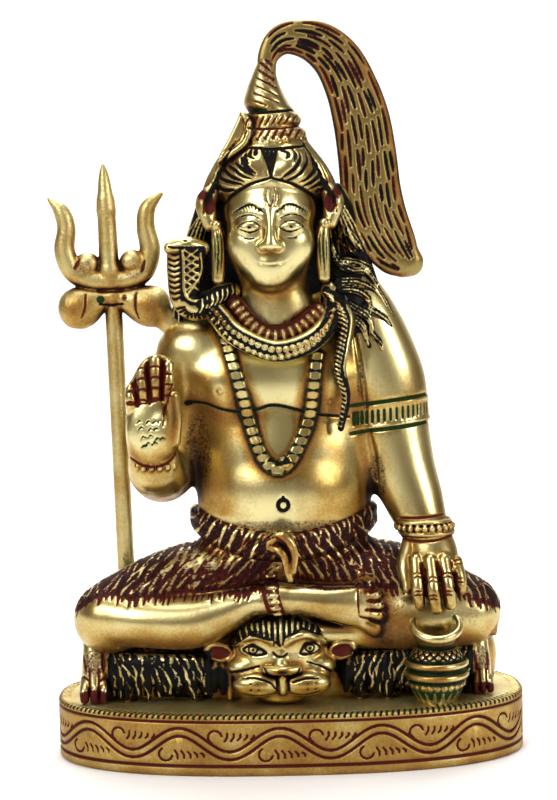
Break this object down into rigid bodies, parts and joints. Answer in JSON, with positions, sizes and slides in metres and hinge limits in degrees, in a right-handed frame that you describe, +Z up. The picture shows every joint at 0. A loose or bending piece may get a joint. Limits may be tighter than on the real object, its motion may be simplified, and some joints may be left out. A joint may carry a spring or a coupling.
{
  "type": "seated shiva figure",
  "caption": "Cast brass deity seated cross-legged on a tiger skin and oval plinth, palm raised, with trident, drum, water pot, snake and an arching jet of water.",
  "frame": {"origin": "centre of the plinth's flat underside", "axes": "+Z up, the figure faces -Y, +X to the right of someone who looks at its face"},
  "size_m": [0.1544, 0.075, 0.2395],
  "materials": {
    "brass": "satin, dark patina in the recesses, dark red, green and black lacquer in the engraving"
  },
  "bodies": {
    "root": {"seated_figure": "brass"}
  },
  "joints": []
}
